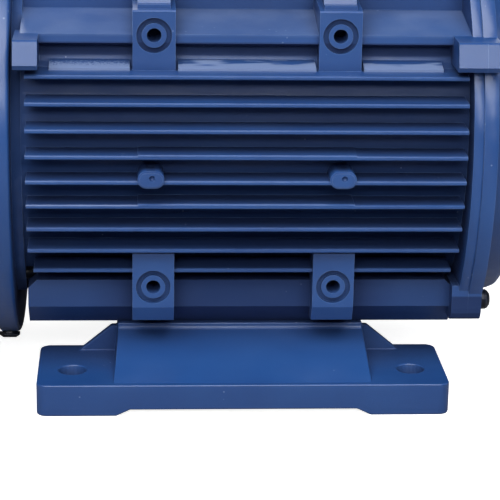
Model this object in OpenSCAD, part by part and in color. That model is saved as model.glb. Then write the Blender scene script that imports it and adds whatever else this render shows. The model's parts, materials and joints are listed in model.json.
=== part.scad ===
// Foot-mounted, totally enclosed, fan-cooled three-phase motor, frame size 90L.
// Origin: centre of the shaft shoulder. +X points out of the drive end, +Z is up.

/* [Mounting] */
// Shaft centre above the underside of the feet
shaft_height = 90; // [90:0.5:92]
// Distance between the foot holes across the motor
foot_hole_across = 140; // [138:1:142]
// Distance between the foot holes along the motor
foot_hole_along = 125; // [122:1:126]
// Shaft shoulder to the nearest foot hole
shoulder_to_hole = 56; // [56:0.5:57]
// Diameter of the foot holes
foot_hole_d = 10; // [9:0.5:11]

/* [Shaft] */
// Diameter of the shaft end
shaft_d = 24; // [22:0.5:24]
// Length of the shaft end, shoulder to tip
shaft_len = 50; // [45:1:60]
// Width of the keyway
key_w = 8; // [6:1:8]
// Depth of the keyway below the top of the shaft
key_depth = 4; // [3:0.5:5]
// Length of the keyway
key_len = 40; // [30:1:42]

/* [Frame] */
// Length of the frame between its two end faces
frame_len = 167.2; // [166.5:0.1:168]
// Radius of the frame's end ring at the drive end
ring_r = 82.4; // [81.5:0.1:82.6]
// Radius of the frame's end ring at the fan end, inside the cowl's lip
fan_ring_r = 70; // [70:0.5:79]
// Thickness of each end ring
ring_t = 3.6; // [3:0.1:4]
// Radius of the frame's bore
bore_r = 60; // [59:0.5:60.5]
// Vertical distance from one cooling fin to the next
fin_pitch = 9.22; // [9:0.02:9.3]
// Thickness of a fin at its tip
fin_tip_t = 1.5; // [1.2:0.1:2]
// Height of a fin above the wall
fin_h = 11.5; // [10:0.5:12]
// Distance of the side boss holes from the middle of the frame, along the motor
boss_x = 32.9; // [32:0.1:34]
// Height of the side boss holes above and below the shaft centre
boss_z = 46.4; // [45.5:0.1:46.8]

/* [Cooling] */
// Outer radius of the fan cowl's lip
cowl_r = 82.7; // [82.7:0.1:83.5]
// Length of the fan cowl
cowl_len = 85; // [83:1:92]
// Number of fan blades
fan_blades = 10; // [6:1:12]
// Outer radius of the fan
fan_r = 70; // [60:1:73]

/* [Terminal box] */
// Outside width of the terminal box
box_w = 104; // [100:1:106]
// Height of the terminal box without its lid
box_h = 34.5; // [32:0.5:40]
// Height of the lid
lid_h = 16; // [12:1:20]

/* [Hidden] */

$fn = 72;
eps = 0.01;
paint = "#30528a";
steel = "#b8bcc0";
zinc = "#c9ccd0";
brass = "#c8a24a";
copper = "#b0632e";
black = "#1d1f22";

// Places along the motor
mid_x = -shoulder_to_hole - foot_hole_along / 2;
drive_face = mid_x + frame_len / 2;
fan_face = mid_x - frame_len / 2;
cowl_end = fan_face - cowl_len;
pedestal_x = mid_x + 14;

// Section of the frame wall and its fins
wall = 6;
fin_circle_r = 79;
fin_circle_y = 3;
fin_circle_z = 5.3;
fin_count = 9;
top_fin_z = 33;
fin_root_t = 2.8;
fin_half_len = 78.1;
mid_band = 38.6;
mid_band_rise = 0.35;
root_half_len = frame_len / 2 - ring_t;
shelf_y = 66.5;
shelf_z = 43.2;
shelf_t = 3.2;
wall_y = 42;
wall_z = 51.2;
top_z = 66;
skirt_y = 60;
skirt_z = 56.9;
pad_y = 51.5;
pad_z = 65.4;
ring_cut_z = 56.5;

// Side bosses
boss_w = 15.1;
boss_face = 69.3;
boss_hole_r = 2.6;
boss_hole_depth = 13;
groove_in = 4.35;
groove_out = 6.3;
groove_depth = 2.2;

// Corner lugs, and the bolts of the two end shields
lug_start = 73.4;
low_lug_start = 77.5;
fan_lug_end = 81.9;
drive_bolt_points = [[70.8, 39.3], [59.2, -54.5]];
fan_bolt_r = 67;
m5_r = 2.5;
m6_r = 3;

// Pedestal and terminal box
pedestal_top = 72;
pedestal_w = 94;
gasket_t = 1.5;
box_z = pedestal_top + gasket_t;
box_top = box_z + box_h;
lid_z = box_top + gasket_t;
box_wall = 4;
box_screw = 33;
lid_screw = box_w / 2 - 9;
board_z = box_z + 10;
board_t = 8;
link_t = 1.2;
stud_pitch = 16;
stud_row = 10;
board_y = 4;
board_screw = 31;
earth_y = -31;
entry_x = 22;
entry_z = box_z + 18;
entry_r = 10;

// Rolling bearings, 25 x 52 x 15
brg_bore = 12.5;
brg_out = 26;
brg_w = 15;
brg_pitch = 19.52;
ball_r = 3.85;
race_r = 4.15;
ball_count = 9;
drive_brg_x = -22;
fan_brg_x = fan_face - 24;
fan_tip_x = fan_face - 60;

// Stator and rotor
core_len = 125;
core_bore = 36;
rotor_r = 35.6;
slot_count = 24;
bar_count = 28;
core_x = mid_x - core_len / 2;
core_seat_r = 17.5;
key_turn = 37.5;

// ---- helpers ----

// A 2-D outline in the Y-Z plane, pushed from x0 to x1
module along_x(x0, x1) {
    translate([x0, 0, 0]) rotate([90, 0, 90]) linear_extrude(x1 - x0) children();
}

// A round bar about the X axis, or about a line parallel to it
module rod(x0, x1, r, y = 0, z = 0) {
    translate([x0, y, z]) rotate([0, 90, 0]) cylinder(h = x1 - x0, r = r);
}

// A turned shape: the outline is a list of [radius, x]
module turned(outline) {
    rotate([0, 90, 0]) rotate_extrude() polygon(outline);
}

module ring(x0, x1, r_out, r_in) {
    turned([[r_in, x0], [r_out, x0], [r_out, x1], [r_in, x1]]);
}

module both_sides() {
    children();
    mirror([0, 1, 0]) children();
}

module both_sides_2d() {
    children();
    mirror([1, 0]) children();
}

module rounded_box(x, y, w, d, z0, z1, r) {
    translate([x, y, z0]) linear_extrude(z1 - z0) offset(r) square([w - 2 * r, d - 2 * r], center = true);
}

// A hexagon-head bolt, head on the +Z side of z = 0, shank below it
module hex_bolt(r, shank, across, head) {
    cylinder(h = head, r = across / 2 / cos(30), $fn = 6);
    cylinder(h = 0.8, r = across / 2 + 1.4);
    translate([0, 0, -shank]) cylinder(h = shank + eps, r = r);
}

// A round-head cross-recess screw, head on the +Z side of z = 0
module pan_screw(r, shank, head_r, head) {
    difference() {
        union() {
            cylinder(h = head * 0.55, r = head_r);
            translate([0, 0, head * 0.55 - eps]) cylinder(h = head * 0.45, r1 = head_r, r2 = head_r * 0.62);
            translate([0, 0, -shank]) cylinder(h = shank + eps, r = r);
        }
        for (a = [0, 90]) rotate(a) {
            translate([-head_r * 0.55, -head_r * 0.11, head * 0.45]) {
                cube([head_r * 1.1, head_r * 0.22, head]);
            }
        }
    }
}

// A round-head screw with a hexagon socket, head on the +Z side of z = 0
module cap_screw(r, shank, head_r, head) {
    difference() {
        union() {
            cylinder(h = head - 1.5, r = head_r);
            translate([0, 0, head - 1.5 - eps]) cylinder(h = 0.7, r1 = head_r, r2 = head_r - 0.4);
            translate([0, 0, head - 0.8 - 2 * eps]) cylinder(h = 0.8, r1 = head_r - 0.4, r2 = head_r - 1.4);
            translate([0, 0, -shank]) cylinder(h = shank + eps, r = r);
        }
        translate([0, 0, head - 2]) cylinder(h = 3, r = 1.9, $fn = 6);
    }
}

// ---- frame ----

function fin_z(i) = top_fin_z - i * fin_pitch;
function fin_reach(z) = fin_circle_y + sqrt(pow(fin_circle_r, 2) - pow(z - fin_circle_z, 2));

module upper_lug_outline() {
    polygon([[60, 36.2], [80.4, 36.2], [81.8, 38], [79.4, 45.9], [78.7, 46.4], [60, 46.4]]);
}

module lower_lug_outline() {
    polygon([
        [50, -47], [50, -61.4], [61.4, -61.4], [63.6, -60.8], [65.2, -59.6], [66.1, -57.8],
        [66.3, -56], [66.3, -47],
    ]);
}

module ring_outline(r) {
    intersection() {
        circle(r);
        translate([-r, -ring_cut_z]) square([2 * r, 2 * r]);
    }
    circle(bore_r + wall);
}

module upper_lugs(x_end) {
    along_x(mid_x + lug_start, mid_x + x_end) both_sides_2d() upper_lug_outline();
}

module lower_lugs(x_end) {
    along_x(mid_x + low_lug_start, mid_x + x_end) both_sides_2d() lower_lug_outline();
}

module side_wall() {
    intersection() {
        translate([-fin_circle_y, fin_circle_z]) circle(fin_circle_r - fin_h);
        translate([-100, -48]) square([100, 92]);
    }
}

module wall_outline() {
    circle(bore_r + wall);
    both_sides_2d() side_wall();
    polygon([
        [-shelf_y, shelf_z], [-shelf_y, shelf_z + shelf_t], [-wall_y, wall_z],
        [-wall_y, top_z], [wall_y, top_z], [wall_y, wall_z],
        [shelf_y, shelf_z + shelf_t], [shelf_y, shelf_z], [50, 38], [-50, 38],
    ]);
}

module skirt() {
    difference() {
        along_x(mid_x - 78.8, mid_x + 78.8) polygon([
            [-skirt_y, -46.6], [-skirt_y, -skirt_z], [-pad_y, -pad_z],
            [pad_y, -pad_z], [skirt_y, -skirt_z], [skirt_y, -46.6],
        ]);
        for (s = [-1, 1]) translate([mid_x + s * 78.8, 0, -46.6]) rotate([0, 45, 0]) {
            cube([4.6, 200, 4.6], center = true);
        }
        // Grooves between the underside fins, outside the foot pads
        for (s = [-1, 1], side = [-1, 1], k = [0, 1]) {
            translate([mid_x + s * 64, side * (31 + k * fin_pitch), -pad_z]) {
                cube([22, 6, 15], center = true);
            }
        }
    }
}

module fin(i) {
    z = fin_z(i);
    tip = fin_reach(z);
    half = i == 8 ? fin_half_len - 1.8 : fin_half_len;
    along_x(mid_x - half, mid_x + half) fin_outline(z, tip);
    if (i == 3 || i == 5) {
        along_x(mid_x - mid_band, mid_x + mid_band) fin_outline(z + mid_band_rise, tip);
    }
}

module fin_outline(z, tip) {
    polygon([
        [-55, z - fin_root_t / 2], [-tip + 0.4, z - fin_tip_t / 2], [-tip, z - fin_tip_t / 4],
        [-tip, z + fin_tip_t / 4], [-tip + 0.4, z + fin_tip_t / 2], [-55, z + fin_root_t / 2],
    ]);
}

// Raw cast step behind the top fin
module cast_step() {
    for (span = [[-69.8, -41.5], [-24.4, 24.4], [41.5, 69.8]]) {
        along_x(mid_x + span[0], mid_x + span[1]) polygon([[-70, 33], [-70, 34.9], [-60, 37.5], [-60, 33]]);
    }
}

module side_boss() {
    along_x(mid_x + boss_x - boss_w / 2, mid_x + boss_x + boss_w / 2) {
        polygon([
            [-50, 33.2], [-boss_face, 33.2], [-boss_face, 54.9], [-68.8, 55.4], [-50, 57], [-40, 57],
            [-40, 40],
        ]);
        polygon([
            [-50, -33.6], [-boss_face, -33.6], [-boss_face, -54.2], [-66.4, -60], [-58, -61.5],
            [-50, -61.5],
        ]);
    }
    // Ribbed neck behind the upper boss
    along_x(mid_x + boss_x - 5.8, mid_x + boss_x + 5.8) polygon([
        [-67, 50], [-67, 57], [-64, 57], [-63, 59], [-60, 59], [-58, 61.5], [-54, 61.5],
        [-51, 64], [-46, 64], [-40, top_z], [-40, 50],
    ]);
}

module side_boss_holes() {
    for (z = [-boss_z, boss_z]) translate([mid_x + boss_x, -boss_face, z]) rotate([-90, 0, 0]) {
        translate([0, 0, -1]) cylinder(h = boss_hole_depth + 1, r = boss_hole_r);
        difference() {
            translate([0, 0, -1]) cylinder(h = 1 + groove_depth, r = groove_out);
            translate([0, 0, -2]) cylinder(h = 3 + groove_depth, r = groove_in);
        }
        translate([0, 0, -1]) cylinder(h = 1.25, r = groove_in);
    }
}

// Flat pads where the casting is pushed out of its mould
module mould_pads() {
    for (s = [-1, 1]) translate([mid_x + s * 34, 0, -2.4]) rotate([90, 0, 0]) difference() {
        union() {
            for (d = [-1.55, 1.55]) translate([d, 0, 70]) {
                cylinder(h = 12.6, r = 3.15);
                cylinder(h = 13.2, r = 2.5);
            }
            translate([-1.55, -3.15, 70]) cube([3.1, 6.3, 12.6]);
            translate([-1.55, -2.5, 70]) cube([3.1, 5, 13.2]);
        }
        translate([0.4, 0.6, 83.2]) sphere(r = 1.1);
    }
}

module frame_side() {
    for (i = [0:fin_count - 1]) fin(i);
    cast_step();
    side_boss();
    mirror_x_mid() side_boss();
    mould_pads();
}

module mirror_x_mid() {
    translate([2 * mid_x, 0, 0]) mirror([1, 0, 0]) children();
}

module stator_frame() {
    color(paint) difference() {
        union() {
            along_x(mid_x - root_half_len - eps, mid_x + root_half_len + eps) wall_outline();
            skirt();
            both_sides() frame_side();
            along_x(drive_face - ring_t, drive_face) ring_outline(ring_r);
            along_x(fan_face, fan_face + ring_t) ring_outline(fan_ring_r);
            upper_lugs(frame_len / 2);
            lower_lugs(frame_len / 2);
            mirror_x_mid() upper_lugs(fan_lug_end);
            translate([pedestal_x, 0, 64]) linear_extrude(pedestal_top - 64) {
                offset(6) square(pedestal_w - 12, center = true);
            }
            // Pad for the nameplate on the far side
            translate([mid_x - 31, 60, -7]) cube([62, 22.4, 34]);
        }
        rod(fan_face - 1, drive_face + 1, bore_r);
        both_sides() {
            side_boss_holes();
            mirror_x_mid() side_boss_holes();
            for (p = drive_bolt_points) rod(drive_face - 6, drive_face + 1, m5_r, p[0], p[1]);
        }
        for (a = [45:90:315]) {
            rod(fan_face - 1, fan_face + 11, m5_r, fan_bolt_r * cos(a), fan_bolt_r * sin(a));
        }
        foot_bolt_places() translate([0, 0, -pad_z - 1]) cylinder(h = 11, r = m6_r);
        for (x = [-1, 1], y = [-1, 1]) {
            translate([pedestal_x + x * box_screw, y * box_screw, pedestal_top - 9]) {
                cylinder(h = 10, r = m5_r);
            }
        }
        // Opening for the winding leads
        translate([pedestal_x - 15, -22, 40]) cube([30, 44, 40]);
        for (x = [-27, 27]) translate([mid_x + x, 83, 10]) rotate([90, 0, 0]) cylinder(h = 6, r = 1.2);
    }
}

module mirror_if(m) {
    if (m == 1) mirror_x_mid() children();
    else children();
}

// ---- stator ----

module slot_outline() {
    for (k = [0:slot_count - 1]) rotate(k * 360 / slot_count) {
        translate([core_bore - 1, -1.2]) square([4, 2.4]);
        translate([core_bore + 2, 0]) polygon([[0, -2.4], [13, -4], [13, 4], [0, 2.4]]);
        translate([core_bore + 15, 0]) circle(4, $fn = 24);
    }
}

module stator_core() {
    color(steel) along_x(core_x, core_x + core_len) difference() {
        circle(bore_r);
        circle(core_bore);
        slot_outline();
    }
}

// One overhang: the rounded bundle of coil ends beyond the core
module overhang() {
    low = core_x + core_len;
    high = low + 20;
    turned([
        [39, low], [53, low], [54.6, low + 1.5], [55, (low + high) / 2], [54.6, high - 1.5],
        [53, high], [41, high], [39.4, high - 1.5], [39, (low + high) / 2],
    ]);
}

// The coil sides in the slots, a little slimmer than the slots
module slot_fill() {
    for (k = [0:slot_count - 1]) rotate(k * 360 / slot_count) {
        translate([core_bore + 3.5, 0]) polygon([[0, -2.3], [11.5, -3.7], [11.5, 3.7], [0, 2.3]]);
        translate([core_bore + 15, 0]) circle(3.7, $fn = 24);
    }
}

module stator_winding() {
    color(copper) {
        for (m = [0, 1]) mirror_if(m) overhang();
        along_x(core_x - eps, core_x + core_len + eps) slot_fill();
    }
}

// ---- end shields ----

module drive_end_shield() {
    rim = drive_face;
    color(paint) difference() {
        union() {
            along_x(rim, rim + 5) {
                ring_outline(ring_r + 0.7);
                both_sides_2d() {
                    upper_lug_outline();
                    lower_lug_outline();
                }
            }
            turned([
                [0, rim], [66, rim], [66, rim + 14.5], [65.2, rim + 16.5], [63.2, rim + 18],
                [61, rim + 18.4], [44, rim + 19.4], [37, rim + 21.4], [35, rim + 23],
                [34.4, -5.5], [33, -4], [0, -4],
            ]);
            turned([[0, rim - 4], [bore_r, rim - 4], [bore_r, rim + eps], [0, rim + eps]]);
            for (a = [22.5:45:360]) rotate([a, 0, 0]) rib_between_hub_and_rim(rim);
        }
        // Hollow behind the front wall
        turned([[38, rim - 5], [56, rim - 5], [56, rim + 8.4], [53, rim + 10.4], [38, rim + 11]]);
        turned([[0, rim - 5], [38 + eps, rim - 5], [38 + eps, rim + 3], [33, rim + 6], [0, rim + 6]]);
        turned([[0, rim + 5], [brg_out, rim + 5], [brg_out, drive_brg_x + brg_w], [0, drive_brg_x + brg_w]]);
        rod(drive_brg_x + brg_w - 1, 1, 21);
        both_sides() for (p = drive_bolt_points) rod(rim - 1, rim + 6, 2.8, p[0], p[1]);
    }
}

module rib_between_hub_and_rim(rim) {
    translate([0, 2, 0]) rotate([90, 0, 0]) linear_extrude(4) {
        polygon([[rim + 14, 30], [-7, 30], [-8, 35], [rim + 20, 60], [rim + 17, 62]]);
    }
}

module fan_end_shield() {
    rim = fan_face;
    color(paint) difference() {
        union() {
            turned([
                [0, rim], [80.8, rim], [80.8, rim - 5], [74, rim - 5],
                [72, rim - 8], [66, rim - 11], [40, rim - 15], [34, rim - 18],
                [33, rim - 27], [0, rim - 27],
            ]);
            turned([[0, rim - eps], [bore_r, rim - eps], [bore_r, rim + 4], [0, rim + 4]]);
        }
        turned([
            [36, rim + 5], [56, rim + 5], [56, rim - 5], [52, rim - 7], [38, rim - 9],
        ]);
        turned([[0, rim + 5], [36 + eps, rim + 5], [37, rim - 5], [33, rim - 7], [0, rim - 7]]);
        turned([
            [0, rim - 6], [brg_out, rim - 6], [brg_out, fan_brg_x - 1.6], [0, fan_brg_x - 1.6],
        ]);
        rod(rim - 30, rim - 20, 14.5);
        for (a = [45:90:315]) {
            rod(rim - 20, rim + 1, 2.8, fan_bolt_r * cos(a), fan_bolt_r * sin(a));
            rod(rim - 20, rim - 5, 5.4, fan_bolt_r * cos(a), fan_bolt_r * sin(a));
        }
        cowl_screw_places() translate([0, 0, -9]) cylinder(h = 9 + 3, r = 2.1);
    }
}

module drive_end_bolts() {
    color(steel) both_sides() for (p = drive_bolt_points) {
        translate([drive_face + 5, p[0], p[1]]) rotate([0, 90, 0]) cap_screw(m5_r, 10.5, 3.7, 4);
    }
}

module fan_end_bolts() {
    color(steel) for (a = [45:90:315]) {
        translate([fan_face - 5, fan_bolt_r * cos(a), fan_bolt_r * sin(a)]) rotate([0, -90, 0]) {
            hex_bolt(m5_r, 14, 7, 3.5);
        }
    }
}

// ---- bearings ----

module outer_race(x0) {
    turned([
        [22.4, x0 + 1.2], [23.2, x0 + 1.2], [23.2, x0], [25.6, x0], [brg_out, x0 + 0.4],
        [brg_out, x0 + brg_w - 0.4], [25.6, x0 + brg_w], [23.2, x0 + brg_w],
        [23.2, x0 + brg_w - 1.2], [22.4, x0 + brg_w - 1.2],
    ]);
}

module outer_ring(x0) {
    color(steel) difference() {
        outer_race(x0);
        race(x0);
    }
}

module race(x0) {
    rotate([0, 90, 0]) rotate_extrude() translate([brg_pitch, x0 + brg_w / 2]) circle(race_r);
}

module inner_ring(x0) {
    color(steel) difference() {
        turned([
            [brg_bore, x0 + 0.4], [13, x0], [16.7, x0], [16.7, x0 + brg_w], [13, x0 + brg_w],
            [brg_bore, x0 + brg_w - 0.4],
        ]);
        race(x0);
    }
}

module bearing_covers(x0) {
    color(zinc) for (x = [x0, x0 + brg_w - 0.8]) ring(x, x + 0.8, 23.2, 17.3);
}

module balls(x0) {
    color(steel) for (k = [0:ball_count - 1]) rotate([k * 360 / ball_count, 0, 0]) {
        translate([x0 + brg_w / 2, 0, brg_pitch]) sphere(r = ball_r);
    }
}

module ball_cage(x0) {
    color(brass) difference() {
        ring(x0 + brg_w / 2 - 4.9, x0 + brg_w / 2 + 4.9, 20.5, 18.6);
        for (k = [0:ball_count - 1]) rotate([k * 360 / ball_count, 0, 0]) {
            translate([x0 + brg_w / 2, 0, 12]) cylinder(h = 14, r = ball_r + 0.2);
        }
    }
}

module drive_bearing_outer_ring() { outer_ring(drive_brg_x); }
module fan_bearing_outer_ring() { outer_ring(fan_brg_x); }
module drive_bearing_covers() { bearing_covers(drive_brg_x); }
module fan_bearing_covers() { bearing_covers(fan_brg_x); }
module drive_bearing_inner_ring() { inner_ring(drive_brg_x); }
module fan_bearing_inner_ring() { inner_ring(fan_brg_x); }
module drive_bearing_balls() { balls(drive_brg_x); }
module fan_bearing_balls() { balls(fan_brg_x); }
module drive_bearing_cage() { ball_cage(drive_brg_x); }
module fan_bearing_cage() { ball_cage(fan_brg_x); }

module wave_spring() {
    color(steel) ring(fan_brg_x - 1.5, fan_brg_x, 25.6, 22);
}

module shaft_seal() {
    color(black) turned([
        [12.8, -4.4], [13.6, -5.2], [21, -5.2], [21, -3.4], [16, -3.4], [13.8, -2.2], [12.8, -2.8],
    ]);
}

// ---- rotor ----

module shaft() {
    tip = shaft_len;
    r = shaft_d / 2;
    color(steel) difference() {
        turned([
            [0, fan_tip_x], [9, fan_tip_x], [10, fan_tip_x + 1], [10, fan_brg_x - 6],
            [brg_bore, fan_brg_x - 6], [brg_bore, fan_brg_x + brg_w], [15, fan_brg_x + brg_w],
            [15, core_x - 4], [core_seat_r, core_x - 4], [core_seat_r, core_x + core_len],
            [15, core_x + core_len], [15, drive_brg_x], [brg_bore, drive_brg_x], [brg_bore, 0],
            [r, 0], [r, tip - 1], [r - 1, tip], [0, tip],
        ]);
        // Keyway with round ends
        rotate([key_turn, 0, 0]) translate([(tip - key_len) / 2 + key_w / 2, 0, r - key_depth]) {
            cylinder(h = 10, r = key_w / 2);
            translate([key_len - key_w, 0, 0]) cylinder(h = 10, r = key_w / 2);
            translate([0, -key_w / 2, 0]) cube([key_len - key_w, key_w, 10]);
        }
        // Tapped centre hole
        rod(tip - 19, tip + 1, 3.4);
        rod(tip - 2.5, tip + 1, 4.2);
        ring(fan_tip_x + 3, fan_tip_x + 4.3, 11, 9.5);
        ring(drive_brg_x + brg_w, drive_brg_x + brg_w + 1.3, 13, 11.9);
    }
}

module bar_places(r) {
    for (k = [0:bar_count - 1]) rotate(k * 360 / bar_count) {
        translate([rotor_r - 3.4, 0]) circle(r, $fn = 24);
    }
}

module rotor_core() {
    color("#8d9299") along_x(core_x, core_x + core_len) difference() {
        circle(rotor_r);
        circle(core_seat_r);
        bar_places(2.2);
        for (k = [0:5]) rotate(k * 60) translate([24, 0]) circle(2.5, $fn = 24);
    }
}

module rotor_cage() {
    color("#c3c7cc") {
        along_x(core_x, core_x + core_len) bar_places(2.15);
        for (m = [0, 1]) mirror_if(m) {
            ring(core_x + core_len, core_x + core_len + 8, rotor_r - 0.4, 26);
            for (k = [0:6]) rotate([k * 360 / 7, 0, 0]) {
                translate([core_x + core_len + 7, -1.2, 27]) cube([9, 2.4, 7.4]);
            }
        }
    }
}

module circlip(x0, r_in, r_out) {
    difference() {
        ring(x0, x0 + 1.2, r_out, r_in);
        translate([x0 - 1, -2, 0]) cube([4, 4, 40]);
    }
}

module drive_bearing_circlip() {
    color(black) circlip(drive_brg_x + brg_w + 0.05, 11.95, 14.6);
}

module fan_circlip() {
    color(black) circlip(fan_tip_x + 3.05, 9.55, 12.6);
}

module cooling_fan() {
    back = fan_tip_x + 5;
    front = fan_brg_x - 9;
    color(black) difference() {
        union() {
            turned([
                [10, back], [17, back], [19, front - 8], [fan_r - 14, front - 5], [fan_r - 2, front - 3],
                [fan_r - 2, front], [10, front],
            ]);
            for (k = [0:fan_blades - 1]) rotate([k * 360 / fan_blades, 0, 0]) {
                translate([0, 1.3, 0]) rotate([90, 0, 0]) linear_extrude(2.6) polygon([
                    [back + 2, 14], [back, fan_r - 22], [back, fan_r - 2], [back + 2, fan_r],
                    [front - 2, fan_r], [front - 2, 14],
                ]);
            }
        }
        rod(back - 5, front + 5, 10);
    }
}

// ---- fan cowl ----

cowl_screw_tilt = 20;
cowl_screw_x = fan_face - 4.2;

module cowl_screw_places() {
    for (a = [-1, 1], m = [0, 1]) mirror([0, 0, m]) rotate([a * cowl_screw_tilt, 0, 0]) {
        translate([cowl_screw_x, 0, -cowl_r]) mirror([0, 0, 1]) children();
    }
}

module grille_outline() {
    slot = 4.4;
    step = 8;
    difference() {
        circle(cowl_r - 9);
        for (k = [0:6]) difference() {
            circle(14 + k * step + slot);
            circle(14 + k * step);
            for (a = [0:45:359]) rotate(a) translate([0, -2]) square([100, 4]);
        }
    }
}

module fan_cowl() {
    body = cowl_r - 1.7;
    t = 1.7;
    lip = 7;
    color(paint) difference() {
        union() {
            // Lip, body and rounded end, as one turned shell
            turned([
                [cowl_r - t, fan_face], [cowl_r - 1, fan_face], [cowl_r - 0.3, fan_face - 0.4],
                [cowl_r, fan_face - 1.1], [cowl_r, fan_face - lip], [body, fan_face - lip - 1.6],
                [body, cowl_end + 9], [body - 1.2, cowl_end + 4.5], [body - 4.5, cowl_end + 1.2],
                [body - 9, cowl_end], [body - 9.4, cowl_end], [body - 9.4, cowl_end + t],
                [body - 9, cowl_end + t], [body - 5.3, cowl_end + 2.8], [body - 2.8, cowl_end + 5.3],
                [body - t, cowl_end + 9], [body - t, fan_face - lip - 2], [cowl_r - t, fan_face - lip - 0.4],
            ]);
            along_x(cowl_end, cowl_end + t) grille_outline();
        }
        cowl_screw_places() translate([0, 0, -8]) cylinder(h = 10, r = 2.3);
    }
}

module cowl_screws() {
    color(black) cowl_screw_places() pan_screw(2, 7, 4, 2.4);
}

// ---- feet ----

plate_top = -shaft_height + 12;
plate_front = 86.5;
plate_back = 43;
plate_half = 75.2;
relief_half = 41.3;
relief_end = 46.4;
relief_h = 2.4;
body_back = 34;
gusset_front = 49.5;
gusset_t = 3;

module foot_bolt_places() {
    for (x = [-1, 1], y = [-1, 1]) translate([mid_x + x * boss_x, y * boss_z, 0]) children();
}

module foot() {
    difference() {
        union() {
            translate([mid_x, -(plate_front + plate_back) / 2, -shaft_height]) {
                linear_extrude(plate_top + shaft_height) offset(4) {
                    square([2 * plate_half - 8, plate_front - plate_back - 8], center = true);
                }
            }
            intersection() {
                along_x(mid_x - 60, mid_x + 60) polygon([
                    [-84, -shaft_height], [-84, plate_top], [-55, -67.7], [-54.2, -66.9], [-54.2, -pad_z],
                    [-body_back, -pad_z], [-body_back, -shaft_height],
                ]);
                translate([mid_x, 0, 0]) rotate([90, 0, 0]) linear_extrude(100) {
                    polygon([
                        [-47.6, -shaft_height], [47.6, -shaft_height], [45.9, -pad_z], [-45.9, -pad_z],
                    ]);
                }
            }
            // Sloping gussets at the back of the plate
            translate([mid_x, gusset_t - gusset_front, 0]) rotate([90, 0, 0]) linear_extrude(gusset_t) {
                polygon([
                    [-60.5, plate_top - 1], [-60.5, plate_top], [-48.3, -68], [48.3, -68],
                    [60.5, plate_top], [60.5, plate_top - 1],
                ]);
            }
        }
        // Relief under the middle, which leaves a pad at each end
        translate([mid_x, 0, -shaft_height]) rotate([90, 0, 0]) linear_extrude(120) {
            polygon([
                [-relief_end, -1], [-relief_end, 0], [-relief_half, relief_h],
                [relief_half, relief_h], [relief_end, 0], [relief_end, -1],
            ]);
        }
        for (x = [-1, 1]) translate([mid_x + x * foot_hole_along / 2, -foot_hole_across / 2, 0]) {
            translate([0, 0, -shaft_height - 1]) cylinder(h = 20, r = foot_hole_d / 2);
        }
        foot_bolt_places() {
            translate([0, 0, -shaft_height - 1]) cylinder(h = 40, r = 3.3);
            translate([0, 0, -shaft_height - 1]) cylinder(h = 14, r = 6.5);
        }
    }
}

module front_foot() {
    color(paint) foot();
}

module rear_foot() {
    color(paint) mirror([0, 1, 0]) foot();
}

module foot_bolts() {
    color(zinc) foot_bolt_places() translate([0, 0, -shaft_height + 13]) mirror([0, 0, 1]) {
        hex_bolt(m6_r, 20, 9.5, 4.5);
    }
}

// ---- terminal box ----

module box_screw_places() {
    for (x = [-1, 1], y = [-1, 1]) translate([pedestal_x + x * box_screw, y * box_screw, 0]) children();
}

module lid_screw_places() {
    for (x = [-1, 1], y = [-1, 1]) translate([pedestal_x + x * lid_screw, y * lid_screw, 0]) children();
}

module terminal_box_gasket() {
    color(black) difference() {
        rounded_box(pedestal_x, 0, pedestal_w, pedestal_w, pedestal_top, box_z, 6);
        rounded_box(pedestal_x, 0, 52, 52, pedestal_top - 1, box_z + 1, 4);
        box_screw_places() translate([0, 0, pedestal_top - 1]) cylinder(h = 4, r = 3);
    }
}

module terminal_box() {
    inner = box_w - 2 * box_wall;
    color(paint) difference() {
        union() {
            difference() {
                rounded_box(pedestal_x, 0, box_w, box_w, box_z, box_top, 10);
                rounded_box(pedestal_x, 0, inner, inner, box_z + 5, box_top + 1, 6);
            }
            intersection() {
                rounded_box(pedestal_x, 0, box_w - 2, box_w - 2, box_z, box_top, 9);
                lid_screw_places() translate([0, 0, box_z]) cylinder(h = box_h, r = 6.5);
            }
            // Thickened wall round the cable entries
            for (s = [-1, 1]) translate([pedestal_x + s * entry_x, box_w / 2 - box_wall - 2, entry_z]) {
                rotate([-90, 0, 0]) cylinder(h = box_wall + 3.5, r = entry_r + 4);
            }
            // Posts for the terminal board, and the earth post
            board_screw_places() translate([0, 0, box_z]) cylinder(h = board_z - box_z, r = 4.5);
            translate([pedestal_x, earth_y, box_z]) cylinder(h = 10, r = 5);
        }
        rounded_box(pedestal_x, 0, 44, 40, box_z - 1, box_z + 6, 4);
        box_screw_places() translate([0, 0, box_z - 1]) cylinder(h = 8, r = 2.8);
        lid_screw_places() translate([0, 0, box_top - 14]) cylinder(h = 15, r = m5_r);
        for (s = [-1, 1]) translate([pedestal_x + s * entry_x, box_w / 2 - box_wall - 4, entry_z]) {
            rotate([-90, 0, 0]) cylinder(h = 12, r = entry_r);
        }
        board_screw_places() translate([0, 0, board_z - 9]) cylinder(h = 10, r = 2);
        translate([pedestal_x, earth_y, box_z + 1]) cylinder(h = 10, r = m5_r);
    }
}

module terminal_box_screws() {
    color(zinc) box_screw_places() translate([0, 0, box_z + 5]) pan_screw(m5_r, 13, 4.6, 3.4);
}

module terminal_board() {
    color("#3b2418") difference() {
        union() {
            rounded_box(pedestal_x, board_y, 72, 36, board_z, board_z + board_t, 3);
            // Barriers between the three pairs of studs
            for (x = [-1, 1], y = [-1, 1]) {
                translate([pedestal_x + x * stud_pitch / 2, board_y + y * 14.5, board_z + board_t]) {
                    cube([2, 5, 12], center = true);
                }
            }
        }
        board_screw_places() translate([0, 0, board_z - 1]) cylinder(h = 12, r = 2.2);
        stud_places() translate([0, 0, board_z - 1]) cylinder(h = 12, r = 2.1);
    }
}

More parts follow.
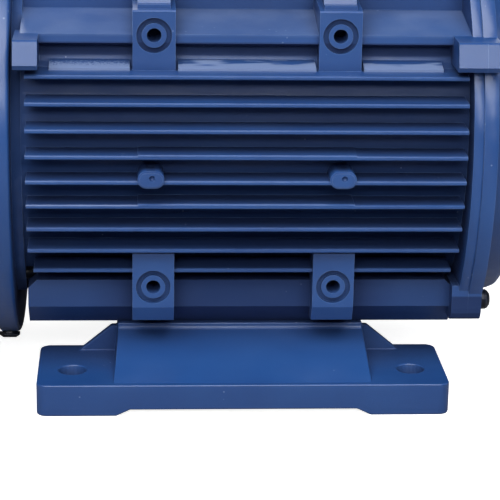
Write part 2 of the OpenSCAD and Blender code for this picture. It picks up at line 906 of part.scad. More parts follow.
module stud_places() {
    for (x = [-1:1], y = [-1, 1]) {
        translate([pedestal_x + x * stud_pitch, board_y + y * stud_row, 0]) children();
    }
}

module board_screw_places() {
    for (x = [-1, 1]) translate([pedestal_x + x * board_screw, board_y, 0]) children();
}

module terminal_board_screws() {
    color(zinc) board_screw_places() translate([0, 0, board_z + board_t]) pan_screw(2, 15, 3.6, 2.6);
}

module terminal_studs() {
    color(brass) stud_places() {
        translate([0, 0, board_z]) cylinder(h = 22, r = 2);
        translate([0, 0, board_z - 2.6]) cylinder(h = 2.6, r = 3.6, $fn = 6);
    }
}

module terminal_links() {
    color(brass) for (x = [-1:1]) difference() {
        translate([pedestal_x + x * stud_pitch, board_y, board_z + board_t]) rounded_plate(8, 28, link_t);
        stud_places() translate([0, 0, board_z + board_t - 1]) cylinder(h = 4, r = 2.15);
    }
}

module rounded_plate(w, d, t) {
    linear_extrude(t) offset(2) square([w - 4, d - 4], center = true);
}

module terminal_nuts() {
    color(brass) stud_places() translate([0, 0, board_z + board_t + link_t]) difference() {
        union() {
            cylinder(h = 0.9, r = 4.2);
            translate([0, 0, 0.9]) cylinder(h = 3.2, r = 4, $fn = 6);
        }
        translate([0, 0, -1]) cylinder(h = 10, r = 2.02);
    }
}

module earth_screw() {
    color(zinc) translate([pedestal_x, earth_y, box_z + 10]) {
        cylinder(h = 1.2, r = 5);
        translate([0, 0, 1.2]) pan_screw(m5_r, 9, 4.4, 3.2);
    }
}

module lid_gasket() {
    color(black) difference() {
        rounded_box(pedestal_x, 0, box_w - 1, box_w - 1, box_top, lid_z, 9.5);
        rounded_box(pedestal_x, 0, box_w - 2 * box_wall, box_w - 2 * box_wall, box_top - 1, lid_z + 1, 6);
        lid_screw_places() translate([0, 0, box_top - 1]) cylinder(h = 4, r = 2.9);
    }
}

module terminal_box_lid() {
    inner = box_w - 2 * box_wall;
    color(paint) difference() {
        union() {
            rounded_box(pedestal_x, 0, box_w, box_w, lid_z, lid_z + 7, 10);
            rounded_box(pedestal_x, 0, box_w - 5, box_w - 5, lid_z, lid_z + lid_h - 2.5, 9);
            rounded_box(pedestal_x, 0, box_w - 10, box_w - 10, lid_z, lid_z + lid_h, 8);
        }
        difference() {
            rounded_box(pedestal_x, 0, inner - 4, inner - 4, lid_z - 1, lid_z + lid_h - 3.5, 6);
            lid_screw_places() translate([0, 0, lid_z - 1]) cylinder(h = lid_h, r = 7);
        }
        lid_screw_places() {
            translate([0, 0, lid_z - 1]) cylinder(h = lid_h + 2, r = 2.8);
            translate([0, 0, lid_z + lid_h - 9]) cylinder(h = 20, r = 5.6);
        }
    }
}

module lid_screws() {
    color(zinc) lid_screw_places() translate([0, 0, lid_z + lid_h - 9]) pan_screw(m5_r, 18, 4.6, 3.6);
}

// ---- cable entries ----

module at_entry(s) {
    translate([pedestal_x + s * entry_x, box_w / 2 + 1.5, entry_z]) rotate([-90, 0, 0]) children();
}

module gland_body() {
    color(black) at_entry(-1) difference() {
        union() {
            translate([0, 0, -9]) cylinder(h = 9, r = entry_r);
            cylinder(h = 1.5, r = 13.6);
            translate([0, 0, 1.5]) cylinder(h = 6, r = 13.8, $fn = 6);
            translate([0, 0, 7.5]) cylinder(h = 8, r = 10.4);
        }
        translate([0, 0, -10]) cylinder(h = 40, r = 6.5);
        translate([0, 0, 6]) cylinder(h = 40, r = 8.5);
    }
}

module gland_seal() {
    color("#3a3d40") at_entry(-1) translate([0, 0, 6]) difference() {
        cylinder(h = 9.5, r = 8.5);
        translate([0, 0, -1]) cylinder(h = 12, r = 5.5);
    }
}

module gland_nut() {
    color(black) at_entry(-1) translate([0, 0, 8]) difference() {
        union() {
            cylinder(h = 8.5, r = 13.4, $fn = 6);
            translate([0, 0, 8.5]) cylinder(h = 4, r1 = 11.4, r2 = 8.6);
        }
        translate([0, 0, -1]) cylinder(h = 8.5, r = 10.4);
        cylinder(h = 20, r = 5.8);
    }
}

module blanking_plug() {
    color(black) at_entry(1) difference() {
        union() {
            translate([0, 0, -9]) cylinder(h = 9, r = entry_r);
            cylinder(h = 4, r = 13);
        }
        translate([0, 0, 2]) cylinder(h = 4, r = 5, $fn = 6);
    }
}

// ---- nameplate ----

module nameplate() {
    color(zinc) translate([mid_x, 83.2, 10]) rotate([90, 0, 0]) difference() {
        linear_extrude(0.8) offset(2) square([56, 26], center = true);
        for (x = [-27, 27]) translate([x, 0, -1]) cylinder(h = 3, r = 1.25);
    }
}

module nameplate_rivets() {
    color(zinc) for (x = [-27, 27]) translate([mid_x + x, 83.2, 10]) rotate([90, 0, 0]) {
        cylinder(h = 5, r = 1.2);
        translate([0, 0, -0.9]) cylinder(h = 0.9, r = 2.3);
    }
}

// ---- one line for each node ----

stator_frame();
stator_core();
stator_winding();
drive_end_shield();
fan_end_shield();
drive_end_bolts();
fan_end_bolts();
drive_bearing_outer_ring();
fan_bearing_outer_ring();
drive_bearing_covers();
fan_bearing_covers();
wave_spring();
shaft_seal();
fan_cowl();
cowl_screws();
front_foot();
rear_foot();
foot_bolts();
terminal_box_gasket();
terminal_box();
terminal_box_screws();
terminal_board();
terminal_board_screws();
terminal_studs();
terminal_nuts();
terminal_links();
earth_screw();
lid_gasket();
terminal_box_lid();
lid_screws();
gland_body();
gland_seal();
gland_nut();
blanking_plug();
nameplate();
nameplate_rivets();
shaft();
rotor_core();
rotor_cage();
drive_bearing_inner_ring();
fan_bearing_inner_ring();
drive_bearing_circlip();
cooling_fan();
fan_circlip();
drive_bearing_balls();
drive_bearing_cage();
fan_bearing_balls();
fan_bearing_cage();
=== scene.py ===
"""Looks of a foot-mounted electric motor: materials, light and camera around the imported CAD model."""

import json
import math

import bpy
from mathutils import Matrix, Vector


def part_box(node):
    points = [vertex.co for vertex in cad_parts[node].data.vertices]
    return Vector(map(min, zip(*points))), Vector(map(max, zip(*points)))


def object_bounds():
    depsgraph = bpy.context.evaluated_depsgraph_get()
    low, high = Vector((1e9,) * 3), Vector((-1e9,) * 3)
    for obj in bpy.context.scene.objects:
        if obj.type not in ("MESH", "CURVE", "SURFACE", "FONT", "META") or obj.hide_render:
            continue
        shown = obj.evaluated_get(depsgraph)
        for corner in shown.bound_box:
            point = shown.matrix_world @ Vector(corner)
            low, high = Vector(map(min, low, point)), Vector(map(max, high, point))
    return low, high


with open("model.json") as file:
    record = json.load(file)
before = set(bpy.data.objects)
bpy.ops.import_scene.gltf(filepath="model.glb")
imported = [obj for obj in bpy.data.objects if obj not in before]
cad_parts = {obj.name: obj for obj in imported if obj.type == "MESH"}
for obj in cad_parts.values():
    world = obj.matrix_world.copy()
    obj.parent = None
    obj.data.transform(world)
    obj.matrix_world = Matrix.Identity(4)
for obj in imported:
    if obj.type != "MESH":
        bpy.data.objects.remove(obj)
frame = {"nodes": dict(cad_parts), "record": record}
cad_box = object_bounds()
nodes = frame["nodes"]
frame_low, frame_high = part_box("stator_frame")
frame_middle = (frame_low.x + frame_high.x) / 2

MM = 0.001
EVEN_STRETCH = (1.0, 1.0, 1.0)
WHITE = (1.0, 1.0, 1.0, 1.0)

# Nearly all of a noise texture's values lie in this range.
NOISE_LOW, NOISE_HIGH = 0.3, 0.7

# Where a rounded normal leans this little (as a cosine) the surface is flat, and this much it is an edge.
FLAT, EDGE = 0.98, 0.8

# Share of open sky over a point: no shade above the first, full shade below the second.
OPEN_SKY, NARROW_SKY = 0.68, 0.2


# ---- one material's node tree ----


class Look:
    """A material with a Principled shader, and short calls for the nodes that feed it."""

    def __init__(self, name, roughness, metallic=0.0):
        self.material = bpy.data.materials.new(name)
        self.material.use_nodes = True
        self.tree = self.material.node_tree
        self.shader = self.tree.nodes["Principled BSDF"]
        self.shader.inputs["Roughness"].default_value = roughness
        self.shader.inputs["Metallic"].default_value = metallic
        self.place = self.add("ShaderNodeTexCoord").outputs["Object"]

    def add(self, kind, **settings):
        node = self.tree.nodes.new(kind)
        for key, value in settings.items():
            setattr(node, key, value)
        return node

    def feed(self, socket, value):
        """A socket gets another node's output, or a plain number or colour."""
        if isinstance(value, bpy.types.NodeSocket):
            self.tree.links.new(value, socket)
        else:
            socket.default_value = value

    def stretched(self, stretch):
        """The place on the surface, with each axis scaled."""
        node = self.add("ShaderNodeMapping")
        self.feed(node.inputs["Vector"], self.place)
        node.inputs["Scale"].default_value = stretch
        return node.outputs["Vector"]

    def noise(self, scale, detail=3.0, stretch=EVEN_STRETCH, roughness=0.5):
        node = self.add("ShaderNodeTexNoise")
        self.feed(node.inputs["Vector"], self.stretched(stretch))
        node.inputs["Scale"].default_value = scale
        node.inputs["Detail"].default_value = detail
        node.inputs["Roughness"].default_value = roughness
        return node.outputs["Fac"]

    def cells(self, scale, stretch=EVEN_STRETCH):
        node = self.add("ShaderNodeTexVoronoi")
        self.feed(node.inputs["Vector"], self.stretched(stretch))
        node.inputs["Scale"].default_value = scale
        return node.outputs["Distance"]

    def remap(self, value, low, high, to_low=0.0, to_high=1.0):
        node = self.add("ShaderNodeMapRange")
        self.feed(node.inputs["Value"], value)
        node.inputs["From Min"].default_value = low
        node.inputs["From Max"].default_value = high
        node.inputs["To Min"].default_value = to_low
        node.inputs["To Max"].default_value = to_high
        return node.outputs["Result"]

    def spread(self, noise, to_low=0.0, to_high=1.0):
        """A noise's usual range, spread from to_low to to_high."""
        return self.remap(noise, NOISE_LOW, NOISE_HIGH, to_low, to_high)

    def calc(self, operation, a, b=0.0):
        node = self.add("ShaderNodeMath", operation=operation)
        self.feed(node.inputs[0], a)
        self.feed(node.inputs[1], b)
        return node.outputs["Value"]

    def mix(self, factor, a, b):
        node = self.add("ShaderNodeMix", data_type="RGBA")
        self.feed(node.inputs["Factor"], factor)
        self.feed(node.inputs[6], a)
        self.feed(node.inputs[7], b)
        return node.outputs[2]

    def axis(self, name):
        node = self.add("ShaderNodeSeparateXYZ")
        self.feed(node.inputs["Vector"], self.place)
        return node.outputs[name]

    def times(self, a, b):
        return self.calc("MULTIPLY", a, b)

    def off_centre(self, name):
        """Distance from the motor's centre plane along Y or Z, on either side."""
        return self.calc("ABSOLUTE", self.axis(name))

    def from_middle(self):
        """Distance along the motor from the middle of its frame, either way."""
        return self.calc("ABSOLUTE", self.calc("SUBTRACT", self.axis("X"), frame_middle))

    def from_shaft(self):
        """Distance from the shaft's axis."""
        squares = [self.calc("POWER", self.off_centre(name), 2.0) for name in ("Y", "Z")]
        return self.calc("SQRT", self.calc("ADD", *squares))

    def band(self, value, low, high, soft):
        """1 where value lies between low and high, with a soft edge on both sides."""
        rise = self.remap(value, low - soft, low + soft)
        fall = self.remap(value, high - soft, high + soft, 1.0, 0.0)
        return self.times(rise, fall)

    def strip(self, heights, widths, soft):
        """1 where the height and the distance from the centre plane are both in range, on either side."""
        in_height = self.band(self.axis("Z"), heights[0], heights[1], soft)
        in_width = self.band(self.off_centre("Y"), widths[0], widths[1], soft)
        return self.times(in_height, in_width)

    def edges(self, radius):
        """1 on sharp edges, 0 on faces: how far a rounded normal leans from the true one."""
        round_normal = self.add("ShaderNodeBevel", samples=4)
        round_normal.inputs["Radius"].default_value = radius
        lean = self.add("ShaderNodeVectorMath", operation="DOT_PRODUCT")
        self.feed(lean.inputs[0], round_normal.outputs["Normal"])
        self.feed(lean.inputs[1], self.add("ShaderNodeNewGeometry").outputs["Normal"])
        return self.remap(lean.outputs["Value"], FLAT, EDGE)

    def crevices(self, reach):
        """1 in narrow gaps and inner corners, 0 on open faces."""
        node = self.add("ShaderNodeAmbientOcclusion", samples=6)
        node.inputs["Distance"].default_value = reach
        return self.remap(node.outputs["AO"], OPEN_SKY, NARROW_SKY)

    def bump(self, height, depth, strength=1.0, under=None):
        node = self.add("ShaderNodeBump")
        self.feed(node.inputs["Height"], height)
        node.inputs["Distance"].default_value = depth
        node.inputs["Strength"].default_value = strength
        if under is not None:
            self.feed(node.inputs["Normal"], under)
        return node.outputs["Normal"]

    def set(self, **sockets):
        for name, value in sockets.items():
            self.feed(self.shader.inputs[name.replace("_", " ")], value)


def rgb(red, green, blue):
    """A colour from 0-255 screen values, as the linear values that a shader takes."""
    return tuple(pow(v / 255, 2.2) for v in (red, green, blue)) + (1.0,)


# ---- paint ----

PAINT = rgb(41, 79, 138)
PAINT_DEEP = rgb(35, 70, 127)
# Paler paint for streaks where it is thinner, and for edges that are partly thinner paint and partly a
# painted highlight.
PAINT_THIN_AND_HIGHLIGHT = rgb(108, 138, 190)
# Pale grey for real dust and paint nibs, and also for the painted highlight on the cast steps and the painted
# sheen on the shelf.
PAINT_DUST_AND_SHEEN = rgb(150, 168, 204)
# Painted shade: the dark tone laid in crevices, on the wall over the cast steps and on the skirt; the lower
# lugs are darkened with it too.
PAINT_SHADE = rgb(18, 38, 78)


# Zones of the frame casting: ranges of height, of distance from the centre plane, and from the middle.
STEP_HEIGHTS = (34.0 * MM, 37.8 * MM)
STEP_EDGE = (65.2 * MM, 66.6 * MM)
STEP_MIDDLE = (-1.0, 24.6 * MM)
STEP_OUTER = (41.3 * MM, 70.0 * MM)
DOTTED_STEP = (frame_middle - 44.5 * MM, frame_middle - 31.5 * MM)
WALL_HEIGHTS, WALL_WIDTHS = (37.9 * MM, 43.6 * MM), (40.0 * MM, 67.5 * MM)
SHELF_HEIGHTS, SHELF_WIDTHS = (45.8 * MM, 52.6 * MM), (42.5 * MM, 66.6 * MM)
SHELF_END = (79.6 * MM, 80.0 * MM)
SKIRT_HEIGHTS, SKIRT_WIDTHS = (-66.0 * MM, -45.6 * MM), (45.0 * MM, 60.8 * MM)
SKIRT_FADE = (44.0 * MM, 58.0 * MM)
INNER_RING_FACE = (78.9 * MM, 79.2 * MM)
LOW_LUG_HEIGHTS = (-63.0 * MM, -51.2 * MM)
LOW_LUG_START = (77.2 * MM, 77.6 * MM)
RING_EDGE = (83.2 * MM, 83.6 * MM)


def specks(look, scale, least):
    """Small separate dots: dust and paint nibs."""
    dots = look.remap(look.cells(scale), 0.16, 0.06)
    where = look.remap(look.noise(scale * 0.21, 1.0), least, least + 0.02)
    return look.times(dots, where)


def step_highlight(look):
    """How strongly the painted highlight shows on the outer edge of the cast steps behind the top fins."""
    sharp = 0.1 * MM
    ragged_by = 3.2 * MM
    on_step = look.band(look.axis("Z"), *STEP_HEIGHTS, sharp)
    off_boss = look.calc(
        "MAXIMUM",
        look.band(look.from_middle(), *STEP_MIDDLE, sharp),
        look.band(look.from_middle(), *STEP_OUTER, sharp),
    )
    dots = look.noise(1900.0, 3.0, roughness=0.7)
    streaks = look.noise(320.0, 3.0, (0.16, 1.0, 1.0))
    ragged = look.mix(look.remap(look.axis("X"), *DOTTED_STEP), dots, streaks)
    reach = look.calc("ADD", look.off_centre("Y"), look.spread(ragged, -ragged_by, ragged_by))
    return look.times(look.remap(reach, *STEP_EDGE), look.times(on_step, off_boss))


def shelf_sheen(look):
    """A faint grey painted sheen on the sloping shelf above the fins."""
    shelf = look.strip(SHELF_HEIGHTS, SHELF_WIDTHS, 0.5 * MM)
    shelf = look.times(shelf, look.remap(look.from_middle(), *SHELF_END, 1.0, 0.0))
    return look.times(shelf, look.spread(look.noise(70.0, 5.0), 0.1, 0.22))


def darkened_zones(look):
    """Painted shade on the wall over the cast steps and on the skirt, and darker paint on the lower lugs."""
    wall = look.strip(WALL_HEIGHTS, WALL_WIDTHS, 0.3 * MM)
    skirt = look.times(
        look.band(look.axis("Z"), *SKIRT_HEIGHTS, 0.6 * MM),
        look.band(look.off_centre("Y"), *SKIRT_WIDTHS, 0.3 * MM),
    )
    skirt = look.times(skirt, look.remap(look.from_middle(), *SKIRT_FADE, 0.85, 0.4))
    between_rings = look.remap(look.from_middle(), *INNER_RING_FACE, 1.0, 0.0)
    sides = look.times(between_rings, look.calc("MAXIMUM", look.times(wall, 0.8), skirt))
    lugs = look.times(
        look.band(look.axis("Z"), *LOW_LUG_HEIGHTS, 0.3 * MM),
        look.remap(look.from_middle(), *LOW_LUG_START),
    )
    lugs = look.times(lugs, look.remap(look.from_shaft(), *RING_EDGE))
    return look.calc("MAXIMUM", sides, lugs)


def cast_paint(name, grain, raw=False):
    """Satin enamel over an aluminium casting: soft waves, fine grain, edges paler from thinner paint and a
    painted highlight, painted shade in the crevices.
    """
    look = Look(name, 0.36)
    mottle = look.spread(look.noise(32.0, 5.0))
    colour = look.mix(mottle, PAINT_DEEP, PAINT)
    # Painted shade: the paint turns dark where little open sky reaches, in crevices, valleys and recesses.
    shade_mask = look.crevices(40.0 * MM)
    colour = look.mix(look.times(shade_mask, 0.75), colour, PAINT_SHADE)
    streak = look.remap(look.noise(14.0, 4.0, (1.0, 1.0, 5.0)), 0.55, 0.8, 0.0, 0.08)
    colour = look.mix(streak, colour, PAINT_THIN_AND_HIGHLIGHT)
    # Paler edges: partly thinner paint, partly a painted highlight along the sharp edges.
    patchy = look.remap(look.noise(90.0, 4.0), 0.35, 0.7, 0.25, 0.85)
    pale_edges = look.times(look.edges(0.35 * MM), patchy)
    colour = look.mix(pale_edges, colour, PAINT_THIN_AND_HIGHLIGHT)
    colour = look.mix(look.times(specks(look, 420.0, 0.66), 0.5), colour, PAINT_DUST_AND_SHEEN)
    waves = look.bump(look.noise(85.0, 2.0), 0.25 * MM, 0.5)
    surface = look.bump(look.noise(1500.0, 2.0), 0.03 * MM, grain, waves)
    surface = look.bump(specks(look, 420.0, 0.66), 0.06 * MM, 0.6, surface)
    if raw:
        # Painted shade on the wall over the cast steps and on the skirt, and darker paint on the lower lugs.
        zone_darkening = darkened_zones(look)
        shade_mask = look.calc("MAXIMUM", shade_mask, zone_darkening)
        colour = look.mix(look.times(zone_darkening, 0.8), colour, PAINT_SHADE)
        # Painted sheen on the sloping shelf above the fins.
        colour = look.mix(shelf_sheen(look), colour, PAINT_DUST_AND_SHEEN)
        # Painted highlight along the outer edge of the cast steps, with a slight bump on it.
        step_shine = step_highlight(look)
        colour = look.mix(look.times(step_shine, 0.5), colour, PAINT_DUST_AND_SHEEN)
        surface = look.bump(step_shine, 0.08 * MM, 0.6, surface)
    look.set(Base_Color=colour, Normal=surface)
    gloss = look.spread(look.noise(55.0, 4.0), 0.3, 0.4)
    look.set(Roughness=look.calc("ADD", gloss, look.times(shade_mask, 0.5)))
    look.set(Coat_Weight=look.remap(shade_mask, 0.0, 0.6, 0.35, 0.0), Coat_Roughness=0.26)
    return look.material


def sheet_paint(name):
    """The same enamel over pressed steel: smoother, with faint drawing marks along the motor."""
    look = Look(name, 0.34)
    mottle = look.spread(look.noise(20.0, 4.0))
    colour = look.mix(mottle, PAINT_DEEP, PAINT)
    # Paler edges: partly thinner paint, partly a painted highlight along the sharp edges.
    patchy = look.remap(look.noise(70.0, 4.0), 0.4, 0.7, 0.2, 0.7)
    pale_edges = look.times(look.edges(0.5 * MM), patchy)
    colour = look.mix(pale_edges, colour, PAINT_THIN_AND_HIGHLIGHT)
    colour = look.mix(look.times(specks(look, 300.0, 0.64), 0.4), colour, PAINT_DUST_AND_SHEEN)
    drawn = look.bump(look.noise(60.0, 3.0, (1.0, 6.0, 6.0)), 0.12 * MM, 0.35)
    peel = look.bump(look.noise(900.0, 1.0), 0.015 * MM, 0.5, drawn)
    look.set(Base_Color=colour, Normal=peel, Coat_Weight=0.35, Coat_Roughness=0.26)
    look.set(Roughness=look.spread(look.noise(40.0, 3.0), 0.3, 0.4))
    return look.material


# ---- metals ----


def turned_steel(name, tone, tone_dark, base_roughness):
    """Fine rings round the X axis, as a lathe or a grinder leaves, with faint handling marks."""
    look = Look(name, base_roughness, 1.0)
    rings = look.noise(1.0, 2.0, (5200.0, 6.0, 6.0))
    stains = look.remap(look.noise(45.0, 5.0), 0.45, 0.75, 0.0, 0.6)
    look.set(Base_Color=look.mix(stains, tone, tone_dark))
    look.set(Roughness=look.spread(rings, base_roughness - 0.05, base_roughness + 0.12))
    look.set(Normal=look.bump(rings, 0.01 * MM, 0.5), Anisotropic=0.5)
    return look.material


def laminations(name):
    """Stacked 0.5 mm sheets, with varnish between them."""
    look = Look(name, 0.45, 0.9)
    along = look.times(look.axis("X"), 1.0 / (0.5 * MM))
    gap = look.remap(look.calc("FRACT", along), 0.8, 1.0)
    rust = look.remap(look.noise(160.0, 5.0), 0.55, 0.8, 0.0, 0.5)
    colour = look.mix(gap, rgb(150, 153, 158), rgb(48, 46, 44))
    look.set(Base_Color=look.mix(rust, colour, rgb(112, 84, 62)))
    look.set(Roughness=look.remap(gap, 0, 1, 0.38, 0.7))
    look.set(Normal=look.bump(look.calc("SUBTRACT", 1.0, gap), 0.05 * MM, 0.8))
    return look.material


def copper_wire(name):
    """Bundled enamelled wire that runs round the bore, soaked in varnish."""
    look = Look(name, 0.3, 0.55)
    across = look.cells(700.0, (1.0, 0.25, 0.25))
    lacing = look.remap(look.noise(30.0, 3.0, (6.0, 1.0, 1.0)), 0.5, 0.72, 0.0, 0.6)
    colour = look.mix(look.remap(across, 0.1, 0.6), rgb(176, 92, 44), rgb(92, 40, 20))
    look.set(Base_Color=look.mix(lacing, colour, rgb(150, 110, 60)))
    look.set(Normal=look.bump(across, 0.4 * MM, 0.8), Coat_Weight=0.6, Coat_Roughness=0.15)
    return look.material


def plated(name, tone, tone_dark, roughness, metallic=1.0):
    """Small fasteners: plating with a fine grain and darker patches."""
    look = Look(name, roughness, metallic)
    patches = look.remap(look.noise(260.0, 4.0), 0.42, 0.72, 0.0, 0.8)
    pale_edges = look.times(look.edges(0.25 * MM), 0.5)
    look.set(Base_Color=look.mix(pale_edges, look.mix(patches, tone, tone_dark), rgb(190, 190, 192)))
    look.set(Roughness=look.spread(look.noise(700.0, 3.0), roughness - 0.06, roughness + 0.12))
    look.set(Normal=look.bump(look.noise(2400.0, 2.0), 0.01 * MM, 0.5))
    return look.material


def black_finish(name):
    """Black-finished bolt heads with a thin coat of paint mist."""
    look = Look(name, 0.36, 0.35)
    mist = look.remap(look.noise(180.0, 4.0), 0.45, 0.75, 0.0, 0.5)
    colour = look.mix(mist, rgb(20, 22, 30), rgb(28, 40, 68))
    pale_edges = look.times(look.edges(0.3 * MM), 0.35)
    look.set(Base_Color=look.mix(pale_edges, colour, rgb(120, 126, 140)))
    look.set(Normal=look.bump(look.noise(1600.0, 2.0), 0.015 * MM, 0.5))
    return look.material


def raw_casting(name):
    """Unpainted die-cast aluminium: grey, finely pitted."""
    look = Look(name, 0.48, 0.9)
    flow = look.remap(look.noise(60.0, 5.0, (1.0, 1.0, 2.5)), 0.35, 0.7)
    look.set(Base_Color=look.mix(flow, rgb(168, 170, 174), rgb(204, 206, 208)))
    pits = look.remap(look.cells(900.0), 0.0, 0.12, 0.0, 1.0)
    look.set(Normal=look.bump(pits, 0.05 * MM, 0.5, look.bump(look.noise(600.0, 3.0), 0.05 * MM, 0.4)))
    return look.material


# ---- rubber and plastics ----


def moulded(name, tone, tone_light, roughness, grain_scale, grain_depth):
    """Plastic or rubber: an even tone with faint flow marks, moulding grain and paler edges."""
    look = Look(name, roughness)
    flow = look.remap(look.noise(50.0, 4.0), 0.35, 0.75, 0.0, 0.7)
    colour = look.mix(flow, tone, tone_light)
    pale_edges = look.times(look.edges(0.3 * MM), 0.4)
    look.set(Base_Color=look.mix(pale_edges, colour, tone_light))
    look.set(Roughness=look.spread(look.noise(130.0, 3.0), roughness - 0.07, roughness + 0.07))
    look.set(Normal=look.bump(look.noise(grain_scale, 2.0), grain_depth, 0.6))
    return look.material


def brushed_plate(name):
    """Blank nameplate: aluminium brushed along the motor, with a few fine scratches."""
    look = Look(name, 0.32, 1.0)
    brushed = look.noise(1.0, 2.0, (40.0, 4000.0, 4000.0))
    scratch = look.remap(look.noise(1.0, 1.0, (60.0, 900.0, 2600.0)), 0.7, 0.74, 0.0, 0.5)
    look.set(Base_Color=look.mix(scratch, rgb(198, 200, 203), rgb(120, 122, 126)))
    look.set(Roughness=look.spread(brushed, 0.24, 0.42), Anisotropic=0.6)
    look.set(Normal=look.bump(brushed, 0.01 * MM, 0.6))
    return look.material


# ---- materials by the record's slots ----

slot_of = {part["node"]: part["material_slot"] for part in frame["record"]["subparts"]}
looks = {
    "blue_paint_cast": cast_paint("blue_paint_cast", 0.35),
    "blue_paint_sheet": sheet_paint("blue_paint_sheet"),
    "lamination_steel": laminations("lamination_steel"),
    "copper_winding": copper_wire("copper_winding"),
    "cast_aluminium": raw_casting("cast_aluminium"),
    "machined_steel": turned_steel("machined_steel", rgb(172, 174, 178), rgb(128, 126, 122), 0.24),
    "bearing_steel": turned_steel("bearing_steel", rgb(196, 198, 202), rgb(160, 160, 160), 0.14),
    "brass": plated("brass", rgb(205, 168, 92), rgb(150, 112, 56), 0.26),
    "black_bolts": black_finish("black_bolts"),
    "zinc_fasteners": plated("zinc_fasteners", rgb(188, 190, 190), rgb(150, 150, 142), 0.3),
    "spring_steel": plated("spring_steel", rgb(62, 64, 72), rgb(40, 40, 44), 0.32),
    "rubber": moulded("rubber", rgb(26, 26, 28), rgb(48, 48, 50), 0.72, 1400.0, 0.03 * MM),
    "moulded_board": moulded("moulded_board", rgb(66, 36, 22), rgb(98, 60, 38), 0.4, 700.0, 0.02 * MM),
    "black_nylon": moulded("black_nylon", rgb(24, 25, 27), rgb(46, 47, 50), 0.46, 1000.0, 0.04 * MM),
    "nameplate_metal": brushed_plate("nameplate_metal"),
}
frame_paint = cast_paint("blue_paint_frame", 0.35, raw=True)
FRAME_CASTINGS = ("stator_frame", "drive_end_shield")


def dress(name, node):
    """Gives a CAD node its material."""
    node.data.materials.clear()
    node.data.materials.append(frame_paint if name in FRAME_CASTINGS else looks[slot_of[name]])


for name, node in nodes.items():
    dress(name, node)


# ---- rounded edges on what shows ----

# Width of the rounding in millimetres, for the pieces whose edges show.
EDGE_ROUNDS = {
    "stator_frame": 0.45, "drive_end_shield": 0.6, "fan_end_shield": 0.5, "front_foot": 1.3, "rear_foot": 1.3,
    "terminal_box": 0.8, "terminal_box_lid": 0.8, "fan_cowl": 0.25, "cooling_fan": 0.4, "shaft": 0.2,
    "gland_body": 0.3, "gland_nut": 0.3, "blanking_plug": 0.4, "drive_end_bolts": 0.35, "fan_end_bolts": 0.3,
    "foot_bolts": 0.3, "lid_screws": 0.2, "cowl_screws": 0.2, "rotor_cage": 0.3, "terminal_board": 0.4,
}


def round_edges(node, radius):
    """A small bevel on every sharp edge, as modifiers, so the CAD mesh stays as it is."""
    weld = node.modifiers.new("weld", "WELD")
    weld.merge_threshold = 0.001 * MM
    flat = node.modifiers.new("flat_faces", "DECIMATE")
    flat.decimate_type = "DISSOLVE"
    flat.angle_limit = math.radians(0.5)
    bevel = node.modifiers.new("edge_round", "BEVEL")
    bevel.width = radius * MM
    bevel.segments = 2
    bevel.limit_method = "ANGLE"
    bevel.angle_limit = math.radians(28)
    bevel.harden_normals = True


for name, radius in EDGE_ROUNDS.items():
    round_edges(nodes[name], radius)


# ---- floor, light and camera ----


def seen_by_camera(tree):
    """1 for what the camera sees directly, 0 for light that reaches the motor."""
    return tree.nodes.new("ShaderNodeLightPath").outputs["Is Camera Ray"]


def pale_floor():
    """White where the camera sees it, and dim as a light under the motor."""
    bpy.ops.mesh.primitive_plane_add(size=12.0, location=(frame_middle, 0, cad_box[0][2]))
    floor = bpy.context.object
    floor.name = "floor"
    look = Look("pale_floor", 0.8)
    seen = seen_by_camera(look.tree)
    look.set(Base_Color=look.mix(seen, (0.3, 0.3, 0.32, 1.0), (0.9, 0.9, 0.9, 1.0)))
    look.set(Emission_Color=WHITE, Emission_Strength=look.times(seen, 0.88))
    floor.data.materials.append(look.material)


def softbox(name, azimuth, elevation, distance, size, power):
    """A square area light that faces the middle of the motor. Azimuth 0 is the camera's side."""
    light = bpy.data.lights.new(name, "AREA")
    light.shape = "RECTANGLE"
    light.size = size[0]
    light.size_y = size[1]
    light.energy = power
    lamp = bpy.data.objects.new(name, light)
    bpy.context.scene.collection.objects.link(lamp)
    a = math.radians(azimuth)
    e = math.radians(elevation)
    away = Vector((math.sin(a) * math.cos(e), -math.cos(a) * math.cos(e), math.sin(e)))
    lamp.location = Vector((frame_middle, 0, 0)) + away * distance
    lamp.rotation_euler = away.to_track_quat("Z", "Y").to_euler()


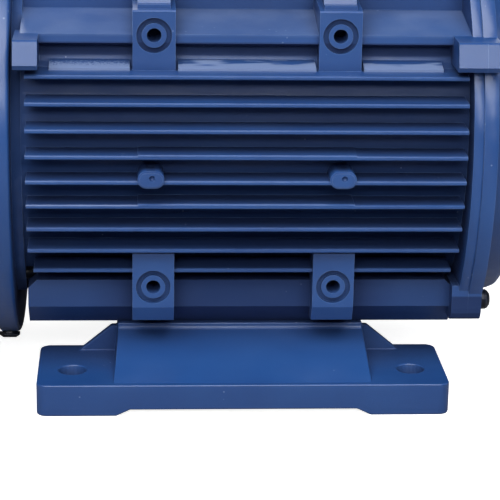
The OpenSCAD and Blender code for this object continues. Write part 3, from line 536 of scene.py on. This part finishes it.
def pale_surroundings(shown, lighting):
    """Pale where the camera sees it, dimmer as a light."""
    world = bpy.data.worlds.new("surroundings")
    bpy.context.scene.world = world
    world.use_nodes = True
    tree = world.node_tree
    background = tree.nodes["Background"]
    background.inputs["Color"].default_value = WHITE
    seen = seen_by_camera(tree)
    strength = tree.nodes.new("ShaderNodeMapRange")
    strength.inputs["To Min"].default_value = lighting
    strength.inputs["To Max"].default_value = shown
    tree.links.new(seen, strength.inputs["Value"])
    tree.links.new(strength.outputs["Result"], background.inputs["Strength"])


def camera_at(offset, yaw, pitch, roll, lens):
    """Angles are in degrees: yaw to the right of +Y, pitch above the horizon, roll clockwise."""
    turn = math.radians(yaw)
    lift = math.radians(pitch)
    lean = math.radians(roll)
    forward = Vector((math.sin(turn) * math.cos(lift), math.cos(turn) * math.cos(lift), math.sin(lift)))
    right = Vector((math.cos(turn), -math.sin(turn), 0))
    up = right.cross(forward)
    tilted_right = right * math.cos(lean) + up * math.sin(lean)
    tilted_up = up * math.cos(lean) - right * math.sin(lean)
    data = bpy.data.cameras.new("camera")
    data.lens = lens
    data.sensor_width = 36.0
    data.clip_start = 0.01
    camera = bpy.data.objects.new("camera", data)
    bpy.context.scene.collection.objects.link(camera)
    turned = Matrix((tilted_right, tilted_up, -forward)).transposed().to_4x4()
    camera.matrix_world = Matrix.Translation(Vector((frame_middle, 0, 0)) + Vector(offset)) @ turned
    bpy.context.scene.camera = camera


pale_floor()
pale_surroundings(shown=1.0, lighting=0.03)
softbox("key_light", azimuth=-12, elevation=56, distance=1.9, size=(2.4, 1.3), power=48)
softbox("low_light", azimuth=-6, elevation=24, distance=1.9, size=(1.8, 0.3), power=13)
softbox("back_light", azimuth=172, elevation=32, distance=2.2, size=(1.8, 0.6), power=15)
softbox("side_light", azimuth=76, elevation=30, distance=2.2, size=(1.2, 1.2), power=4)
softbox("fan_side_light", azimuth=-112, elevation=28, distance=2.2, size=(1.2, 1.0), power=9)
camera_at(offset=(-0.041178, -0.750378, 0.178397), yaw=3.64, pitch=-17.15, roll=1.07, lens=141.57)
bpy.context.scene.view_settings.view_transform = "Standard"
